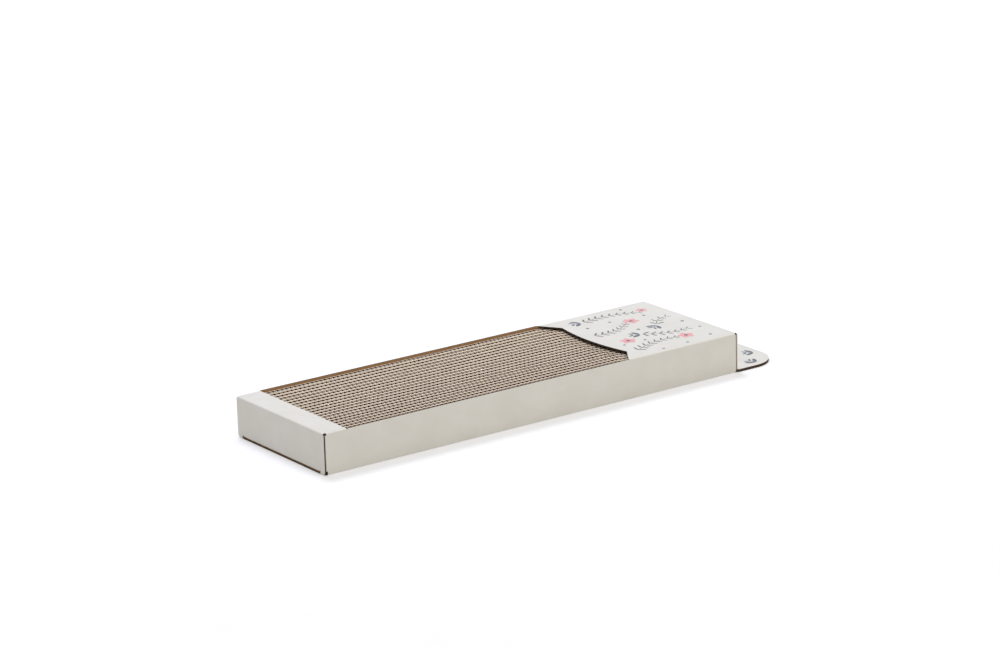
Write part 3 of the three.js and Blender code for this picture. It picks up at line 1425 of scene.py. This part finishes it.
@dataclass(frozen=True)
class Sprig:
    """One stem of the printed pattern: where it starts, which way it grows, and how it bows."""

    x: float
    y: float
    heading: float
    length: float
    bow: float = 0.0

    def line(self, z: float, steps: int = 12) -> list[Vector]:
        """Draw the stem.

        Args:
            z: Its height, in metres.
            steps: How many straight pieces it has.

        Returns:
            Points along it, in metres.
        """
        way = math.radians(self.heading)
        forward, aside = Vector((math.cos(way), math.sin(way), 0)), Vector((-math.sin(way), math.cos(way), 0))
        root = Vector((self.x * MM, self.y * MM, z))
        points = []
        for step in range(steps + 1):
            share = step / steps
            points.append(root + forward * self.length * MM * share
                          + aside * self.bow * MM * 4 * share * (1 - share))
        return points


@dataclass(frozen=True)
class Spot:
    """One round or petalled mark: its place, radius and turn."""

    x: float
    y: float
    radius: float
    turn: float = 0.0


@dataclass(frozen=True)
class Leaf:
    """Leaves along a stem: their size, spacing and lean from the stem, and the stem's width."""

    length: float
    width: float
    spacing: float
    lean: float
    stem: float


@dataclass
class PrintPress:
    """Geometry Nodes that lay sprigs and spots as thin plates of ink on a printed face.

    A leaf's middle stands leaf_reach of its length from the stem, and the leaves shrink along the
    stem by leaf_thinning.
    """

    depth: float = 0.05 * MM
    leaf_corners: int = 14
    leaf_reach: float = 0.58
    leaf_thinning: float = 0.4
    spot_corners: int = 60

    def __post_init__(self) -> None:
        """Build both trees."""
        self.sprigs = self._sprig_tree()
        self.spots = self._spot_tree()

    def _sprig_tree(self) -> GeometryTree:
        """Build the tree that grows stems and leaves along lines.

        Returns:
            A tree whose inputs are the leaves' spacing, size and lean, the stem's width and the ink's depth.
        """
        tree = GeometryTree("printed_sprigs")
        spacing, stem, depth, length, width, lean = tree.take(
            "Spacing", "Stem", "Depth", "Leaf Length", "Leaf Width", "Lean")
        curve = tree.traced()
        shapes = [tree.swept(curve, tree.oblong(stem, depth))]
        places = tree.resampled(curve, spacing)
        ahead_x, ahead_y, _ = tree.parts(tree.out("GeometryNodeInputTangent"))
        heading = tree.math("ARCTAN2", ahead_y, ahead_x)
        along = tree.node("GeometryNodeSplineParameter").outputs["Factor"]
        size = tree.math("SUBTRACT", 1.0, tree.math("MULTIPLY", along, self.leaf_thinning))
        scale = tree.vector(size, size, 1.0)
        leaf = tree.out("GeometryNodeTransform", {
            "Geometry": tree.plate(self.leaf_corners, 0.5, 1.0), "Scale": tree.vector(length, width, depth),
            "Translation": tree.vector(tree.math("MULTIPLY", length, self.leaf_reach)),
        })
        for side in (-1.0, 1.0):
            turn = tree.vector(z=tree.math("MULTIPLY_ADD", lean, side, heading))
            shapes.append(tree.stamped(places, leaf, turn, scale))
        tree.end(*shapes)
        return tree

    def _spot_tree(self) -> GeometryTree:
        """Build the tree that sets a round or petalled plate on each point.

        Returns:
            A tree whose inputs are the count of petals, how far they swell and the ink's depth.
        """
        tree = GeometryTree("printed_spots")
        petals, swell, depth = tree.take("Petals", "Swell", "Depth")
        plate = tree.plate(self.spot_corners, 1.0, depth)
        x, y, _ = tree.parts(tree.out("GeometryNodeInputPosition"))
        turn = tree.math("MULTIPLY", tree.math("ARCTAN2", y, x), petals)
        wave = tree.math("MULTIPLY", tree.math("COSINE", turn), swell)
        offset = tree.vector(tree.math("MULTIPLY", x, wave), tree.math("MULTIPLY", y, wave))
        size = tree.named("radius")
        tree.end(tree.stamped(tree.entry.outputs["Geometry"], tree.shifted(plate, offset),
                              tree.vector(z=tree.named("turn")), tree.vector(size, size, 1.0)))
        return tree

    def grow(self, sprigs: Sequence[Sprig], leaf: Leaf, top: float, ink: Material) -> Mesh:
        """Print sprigs.

        Args:
            sprigs: The stems.
            leaf: Their leaves.
            top: Height of the ink's upper face, in metres.
            ink: Its finish.

        Returns:
            The plates of ink as one mesh.
        """
        points, edges = [], []
        for sprig in sprigs:
            line = sprig.line(top - self.depth / 2)
            edges += [(len(points) + step, len(points) + step + 1) for step in range(len(line) - 1)]
            points += line
        lines = bpy.data.meshes.new("stems")
        lines.from_pydata(points, edges, [])
        return self.sprigs.run(lines, ink, {
            "Spacing": leaf.spacing * MM, "Stem": leaf.stem * MM, "Depth": self.depth,
            "Leaf Length": leaf.length * MM, "Leaf Width": leaf.width * MM, "Lean": math.radians(leaf.lean),
        })

    def dot(self, spots: Sequence[Spot], top: float, ink: Material, petals: int = 0,
            swell: float = 0.0) -> Mesh:
        """Print spots.

        Args:
            spots: The marks.
            top: Height of the ink's upper face, in metres.
            ink: Its finish.
            petals: How many petals each has, or 0 for a round one.
            swell: How far the petals swell, as a share of the radius.

        Returns:
            The plates of ink as one mesh.
        """
        points = bpy.data.meshes.new("spots")
        points.from_pydata([(s.x * MM, s.y * MM, top - self.depth / 2) for s in spots], [], [])
        note(points, "radius", [s.radius * MM for s in spots])
        note(points, "turn", [math.radians(s.turn) for s in spots])
        return self.spots.run(points, ink, {"Petals": float(petals), "Swell": swell, "Depth": self.depth})


@dataclass
class BotanicalPrint:
    """A plain pattern of sprigs, blossoms and dots on the cover, and four sprouts on the tab.

    The blossoms have petals of a count and a swell, and a dot of centre_share of their size. The
    ink's upper faces lie at ink_levels, as shares of the room that the plan leaves for it.
    """

    plan: CartonPlan
    press: PrintPress
    slate: Material
    grey: Material
    pink: Material
    fern: Leaf = Leaf(length=11.0, width=2.5, spacing=9.5, lean=50.0, stem=0.9)
    sprout: Leaf = Leaf(length=13.0, width=5.4, spacing=8.0, lean=46.0, stem=1.0)
    petals: tuple[int, float] = (5, 0.2)
    centre_share: float = 0.3
    ink_levels: tuple[float, float, float] = (0.3, 0.6, 0.9)
    tab_sinking: float = 0.005 * MM
    sprigs: tuple[Sprig, ...] = (
        Sprig(131, -69, 9, 76, 8), Sprig(176, -20, -17, 58, -7), Sprig(127, 12, 17, 66, -9),
        Sprig(152, 66, -7, 78, 8), Sprig(216, 2, 34, 34, 5),
    )
    shoots: tuple[Sprig, ...] = (Sprig(172, -20, 150, 8), Sprig(146, 66, 168, 8), Sprig(211, -3, 206, 8))
    blossoms: tuple[Spot, ...] = (
        Spot(213, -58, 9, 10), Spot(199, 33, 9, 40), Spot(145, -31, 9, 0), Spot(238, 62, 6.5, 20),
    )
    dots: tuple[Spot, ...] = (
        Spot(139, 42, 2.2), Spot(163, -41, 2), Spot(184, -1, 2.4), Spot(226, 42, 2), Spot(238, -74, 2.2),
        Spot(131, -42, 1.9), Spot(176, 46, 2), Spot(247, -8, 2.3), Spot(196, -82, 1.9), Spot(249, -40, 1.9),
        Spot(219, 80, 2.1), Spot(158, -84, 1.8),
    )
    tab_shoots: tuple[Sprig, ...] = (
        Sprig(325, -50, 150, 8), Sprig(302, -83, 110, 8), Sprig(325, 50, 210, 8), Sprig(302, 83, 250, 8),
    )

    def make(self) -> None:
        """Print the cover and the tab, each layer of ink a little above the one before."""
        plan, press = self.plan, self.press
        low, middle, high = (plan.height + level * plan.ink_room for level in self.ink_levels)
        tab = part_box("tab_upper_layer")[1].z - self.tab_sinking
        centres = [Spot(s.x, s.y, s.radius * self.centre_share) for s in self.blossoms]
        pieces = (
            ("cover_sprigs", press.grow(self.sprigs, self.fern, low, self.grey), "carton"),
            ("cover_sprouts", press.grow(self.shoots, self.sprout, low, self.slate), "carton"),
            ("cover_blossoms", press.dot(self.blossoms, middle, self.pink, *self.petals), "carton"),
            ("cover_dots", press.dot((*centres, *self.dots), high, self.slate), "carton"),
            ("tab_sprouts", press.grow(self.tab_shoots, self.sprout, tab, self.slate), "tab"),
        )
        for name, mesh, body in pieces:
            placed(name, mesh, body, "printed_board")


# Pad


@dataclass(frozen=True)
class FlutedPaper:
    """One layer across a strip: a flat paper, or a wave with its height and pitch.

    A layer whose cell is 1 has wide cells beside it, and its paper takes painted shade down in them.
    """

    wave: float = 0.0
    pitch: float = 1.0
    cell: float = 0.0


@dataclass
class CorrugatedPad:
    """The pad: strips of double-wall fluted board on edge, each with a coarse and a fine flute.

    It is dished across, by its sag, and dips a little more under the cover's edge, from dip_start
    before it. A wave is a sine raised by crest_lean, stretched by crest_flat and cut off at both
    crests. A noise shifts it along the strip, by wobble from end to end, and phase_waves is how
    many waves a strip may start late. A coarse wave's paper takes painted shade in its cells, by
    cell_level and by its swing times cell_swing.
    """

    plan: CartonPlan
    edge_x: Callable[[float], float]
    paper: float = 0.42 * MM
    coarse_wave: float = 6.3 * MM
    coarse_pitch: float = 6.0 * MM
    fine_pitch: float = 2.6 * MM
    sag: float = 2.0 * MM
    unevenness: float = 0.08 * MM
    dip: float = 1.5 * MM
    dip_start: float = 14.0 * MM
    dip_end: float = 2.0 * MM
    wobble: float = 1.6 * MM
    wobble_scale: float = 45.0
    layer_shift: float = 0.37
    phase_waves: float = 40.0
    crest_flat: float = 2.2
    crest_lean: float = 0.5
    cell_swing: float = 0.8
    cell_level: float = 0.72
    wave_steps: int = 12
    flat_step: float = 12.0 * MM
    seed: int = 7

    def _layers(self, thickness: float) -> list[tuple[float, FlutedPaper]]:
        """Lay a strip's papers side by side.

        Args:
            thickness: The strip's thickness.

        Returns:
            Each layer with the place of its middle from the strip's near face.
        """
        fine_wave = thickness - 3 * self.paper - self.coarse_wave
        plans = (FlutedPaper(), FlutedPaper(fine_wave, self.fine_pitch), FlutedPaper(),
                 FlutedPaper(self.coarse_wave, self.coarse_pitch, 1.0), FlutedPaper())
        found, place = [], 0.0
        for layer in plans:
            depth = layer.wave or self.paper
            found.append((place + depth / 2, layer))
            place += depth
        return found

    def tree(self, thickness: float) -> GeometryTree:
        """Build the tree that makes one strip.

        Args:
            thickness: The strip's thickness.

        Returns:
            A tree whose inputs are the strip's corner, length, height, paper, phase, wobble and the
            place of the cover's edge along it.
        """
        tree = GeometryTree("fluted_strip")
        (corner,) = tree.take("Corner", kind="NodeSocketVector")
        length, height, paper, phase, wobble, cover = tree.take(
            "Length", "Height", "Paper", "Phase", "Wobble", "Cover")
        profile = tree.oblong(paper, height)
        middle = tree.math("MULTIPLY", height, 0.5)
        run, _, rise = tree.parts(tree.out("GeometryNodeInputPosition"))
        slope = tree.ranged(run, tree.math("SUBTRACT", cover, self.dip_start),
                            tree.math("SUBTRACT", cover, self.dip_end), 0.0, -self.dip)
        dish = tree.vector(z=tree.math("MULTIPLY", slope, tree.math("DIVIDE", rise, height)))
        # under, the distance past the cover's edge, places the painted shade under the cover
        top, under = tree.math("ADD", height, slope), tree.math("SUBTRACT", run, cover)
        shapes = []
        for number, (centre, layer) in enumerate(self._layers(thickness)):
            ends = {"Start": tree.vector(0.0, centre, middle), "End": tree.vector(length, centre, middle)}
            spacing = layer.pitch / self.wave_steps if layer.wave else self.flat_step
            shape = tree.resampled(tree.out("GeometryNodeCurvePrimitiveLine", ends), spacing)
            if layer.wave:
                swing = self._swing(tree, run, phase, wobble, layer.pitch, number)
                aside = tree.math("MULTIPLY", swing, (layer.wave - self.paper) / 2)
                # painted shade: how much of the near-black cell colour this paper takes
                painted_cell_shade = tree.math("MULTIPLY_ADD", swing, self.cell_swing, self.cell_level)
                shape = tree.noted(tree.shifted(shape, tree.vector(y=aside)), "cell",
                                   tree.math("MULTIPLY", painted_cell_shade, layer.cell))
            sheet = tree.shifted(tree.swept(shape, profile), dish)
            sheet = tree.noted(tree.noted(sheet, "top", top), "under", under)
            shapes.append(tree.out("GeometryNodeTransform", {"Geometry": sheet, "Translation": corner}))
        tree.end(*shapes)
        return tree

    def _swing(self, tree: GeometryTree, run: Socket, phase: Socket, wobble: Socket, pitch: float,
               number: int) -> Socket:
        """Work out how far a point of a wave has swung.

        Args:
            tree: The tree under construction.
            run: The point's place along the strip.
            phase: The strip's own shift, which also picks its unevenness.
            wobble: How uneven the waves are.
            pitch: The wave's pitch.
            number: The layer's place in the strip.

        Returns:
            The swing, from -1 at the near crest to 1 at the far one.
        """
        sample = tree.vector(run, tree.math("ADD", phase, self.layer_shift * (number + 1)))
        noise = tree.out("ShaderNodeTexNoise", {"Vector": sample, "Scale": self.wobble_scale, "Detail": 1.0})
        shift = tree.math("MULTIPLY", tree.math("SUBTRACT", noise, 0.5), wobble)
        place = tree.math("ADD", tree.math("ADD", run, phase), shift)
        wave = tree.math("SINE", tree.math("MULTIPLY", place, 2 * math.pi / pitch))
        crest = tree.math("MULTIPLY", tree.math("ADD", wave, self.crest_lean), self.crest_flat)
        return tree.math("MAXIMUM", tree.math("MINIMUM", crest, 1.0), -1.0)

    def make(self) -> None:
        """Build each strip and put it in its CAD strip's place."""
        names = sorted(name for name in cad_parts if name.startswith("pad_strip_"))
        low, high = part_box(names[0])
        finish = PadPaper(low.z).material()
        tree = self.tree(high.y - low.y)
        chance = random.Random(self.seed)
        for name in names:
            low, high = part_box(name)
            middle_y = (low.y + high.y) / 2
            bow = 1 - (middle_y / self.plan.half_width) ** 2
            top = high.z - self.sag * bow - chance.uniform(0.0, self.unevenness)
            mesh = tree.run(bpy.data.meshes.new("strip"), finish, {
                "Corner": (low.x, low.y, low.z), "Length": high.x - low.x, "Height": top - low.z,
                "Paper": self.paper, "Phase": chance.uniform(0.0, self.phase_waves) * self.coarse_pitch,
                "Wobble": self.wobble, "Cover": self.edge_x(middle_y) - low.x,
            })
            placed(name.replace("pad_strip", "corrugated_strip"), mesh, "carton", "corrugated_pad", name)


# Stage


@dataclass(frozen=True)
class Lamp:
    """One soft square lamp: where it hangs, the length of its sides, its power in watts and its tint."""

    name: str
    place: Triple
    size: float
    power: float
    tint: Colour

    def hang(self) -> None:
        """Hang the lamp so that it looks at the object."""
        data = bpy.data.lights.new(self.name, "AREA")
        data.energy, data.size, data.color = self.power, self.size, self.tint
        lamp = bpy.data.objects.new(self.name, data)
        lamp.location = self.place
        lamp.rotation_euler = (-Vector(self.place)).to_track_quat("-Z", "Y").to_euler()
        bpy.context.collection.objects.link(lamp)


@dataclass(frozen=True)
class Studio:
    """Pale floor, soft lamps and a camera at the photograph's angle.

    The camera sees the floor glow, by floor_glow up to floor_near from the object and to full
    white at floor_far. Other rays meet it in the colour floor_thrown.
    """

    position: Triple = (-2.3393, -3.2643, 1.2860)
    azimuth: float = 0.61722
    elevation: float = 0.29146
    roll: float = -0.02794
    focal_length: float = 126.8
    sensor: float = 36.0
    clip: Pair = (0.05, 60.0)
    ambient: float = 0.6
    ambient_tint: Colour = (1.0, 0.972, 0.918)
    white: Colour = (1.0, 1.0, 1.0)
    lamps: tuple[Lamp, ...] = (
        Lamp("key_lamp", (0.15, 1.15, 2.8), 0.9, 36.0, (0.88, 0.91, 1.0)),
        Lamp("fill_lamp", (0.9, -2.7, 1.5), 2.2, 15.0, (1.0, 0.92, 0.66)),
    )
    floor_shown: tuple[Colour, Colour] = ((0.76, 0.77, 0.83), (0.8, 0.81, 0.87))
    floor_thrown: Colour = (0.79, 0.765, 0.74)
    floor_grain: float = 30.0
    floor_roughness: float = 0.9
    floor_relief: float = 0.02 * MM
    floor_glow: float = 0.3
    floor_near: float = 0.8
    floor_far: float = 1.8
    floor_reach: float = 9.0
    floor_drop: float = 0.05 * MM
    contact: float = 1.0 * MM

    def camera(self) -> None:
        """Place the camera."""
        flat = math.cos(self.elevation)
        ahead, aside = math.cos(self.azimuth) * flat, math.sin(self.azimuth) * flat
        gaze = Vector((aside, ahead, -math.sin(self.elevation)))
        right = gaze.cross(Vector((0, 0, 1))).normalized()
        up = right.cross(gaze)
        leaned = right * math.cos(self.roll) + up * math.sin(self.roll)
        upright = up * math.cos(self.roll) - right * math.sin(self.roll)
        data = bpy.data.cameras.new("photo_camera")
        data.lens, data.sensor_width = self.focal_length, self.sensor
        data.clip_start, data.clip_end = self.clip
        camera = bpy.data.objects.new("photo_camera", data)
        turned = Matrix((leaned, upright, -gaze)).transposed().to_4x4()
        camera.matrix_world = Matrix.Translation(Vector(self.position)) @ turned
        bpy.context.collection.objects.link(camera)
        bpy.context.scene.camera = camera

    @staticmethod
    def _seen(sheet: NodeSheet) -> Socket:
        """Tell the rays that show a surface to the camera from those that light the object.

        Args:
            sheet: The tree that asks.

        Returns:
            1 for rays from the camera, in gloss and through glass, 0 for the others.
        """
        paths = sheet.node("ShaderNodeLightPath").outputs
        seen = sheet.math("MAXIMUM", paths["Is Camera Ray"], paths["Is Glossy Ray"])
        return sheet.math("MAXIMUM", seen, paths["Is Transmission Ray"])

    def world(self) -> None:
        """Light the scene all round, and show white to the camera and in reflections."""
        world = bpy.data.worlds.new("studio")
        bpy.context.scene.world = world
        world.use_nodes = True
        world.node_tree.nodes.clear()
        sheet = NodeSheet(world.node_tree)
        soft, white = (
            sheet.out("ShaderNodeBackground", {"Color": (*colour, 1.0), "Strength": strength})
            for colour, strength in ((self.ambient_tint, self.ambient), (self.white, 1.0))
        )
        mix = sheet.out("ShaderNodeMixShader", {0: self._seen(sheet), 1: soft, 2: white})
        sheet.node("ShaderNodeOutputWorld", {"Surface": mix})

    def _floor_finish(self) -> Material:
        """Build the floor's finish, which glows more the farther it lies from the object.

        Returns:
            The finish, clear from below and to light that starts where something rests on it.
        """
        sheet = ShaderSheet("studio_floor")
        grain = sheet.noise(self.floor_grain, detail=4.0)
        paths = sheet.node("ShaderNodeLightPath").outputs
        colour = sheet.mixed(paths["Is Camera Ray"], self.floor_thrown, sheet.mixed(grain, *self.floor_shown))
        sheet.surface(colour, self.floor_roughness, grain, self.floor_relief, 0.0)
        away = sheet.node("ShaderNodeVectorMath", {0: sheet.place}, operation="LENGTH").outputs["Value"]
        strength = sheet.ranged(away, self.floor_near, self.floor_far, self.floor_glow, 1.0)
        glow = sheet.out("ShaderNodeEmission", {"Color": (*self.white, 1.0), "Strength": strength})
        shown_glow = sheet.out("ShaderNodeMixShader", {0: self._seen(sheet), 2: glow})
        lit = sheet.out("ShaderNodeAddShader", {0: sheet.shader.outputs[0], 1: shown_glow})
        below = sheet.node("ShaderNodeNewGeometry").outputs["Backfacing"]
        clear = sheet.math("MAXIMUM", below, sheet.math("LESS_THAN", paths["Ray Length"], self.contact))
        nothing = sheet.out("ShaderNodeBsdfTransparent")
        whole = sheet.out("ShaderNodeMixShader", {0: clear, 1: lit, 2: nothing})
        sheet.feed(sheet.tree.nodes["Material Output"].inputs["Surface"], whole)
        return sheet.material

    def floor(self) -> None:
        """Lay a floor that shows as white and keeps the object's shadow.

        From below it shows nothing, and light from below reaches what rests on it, so that the
        underside can be seen.
        """
        mesh = bpy.data.meshes.new("studio_floor")
        corners = [(x * self.floor_reach, y * self.floor_reach, -self.floor_drop)
                   for x, y in ((-1, -1), (1, -1), (1, 1), (-1, 1))]
        mesh.from_pydata(corners, [], [(0, 1, 2, 3)])
        mesh.materials.append(self._floor_finish())
        floor = bpy.data.objects.new("studio_floor", mesh)
        bpy.context.collection.objects.link(floor)

    def make(self) -> None:
        """Set up the camera, the world, the floor and the lamps."""
        bpy.context.scene.view_settings.view_transform = "Standard"
        self.camera()
        self.world()
        self.floor()
        for lamp in self.lamps:
            lamp.hang()


def main() -> None:
    """Build the dressed scratching board and its studio."""
    logging.basicConfig(level=logging.INFO, format="%(name)s: %(message)s")
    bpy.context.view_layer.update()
    Studio().make()
    plan = CartonPlan.from_frame()
    gauge = BoardGauge(plan.board)
    middle_paper = CutPaper("flute_paper", brown=(0.17, 0.112, 0.07), dark=(0.08, 0.052, 0.034))
    finishes = BoardFinishes(
        printed=PrintedLiner(flute_pitch=gauge.flute_pitch).material(),
        kraft=KraftLiner().material(),
        cut=CutPaper().material(),
        flutes=FluteLine(gauge, middle_paper.material()),
    )
    shell = CartonShell(plan, finishes)
    shell.make()
    FootEnd(plan, finishes).make()
    TabFold(plan, finishes).make()
    BotanicalPrint(
        plan=plan, press=PrintPress(),
        slate=PrintInk("slate_ink", (0.13, 0.155, 0.2), (0.2, 0.225, 0.27)).material(),
        grey=PrintInk("grey_ink", (0.1, 0.1, 0.105), (0.17, 0.17, 0.175)).material(),
        pink=PrintInk("pink_ink", (0.83, 0.4, 0.44), (0.82, 0.48, 0.51)).material(),
    ).make()
    CorrugatedPad(plan, shell.edge_x).make()


if __name__ == "__main__":
    main()
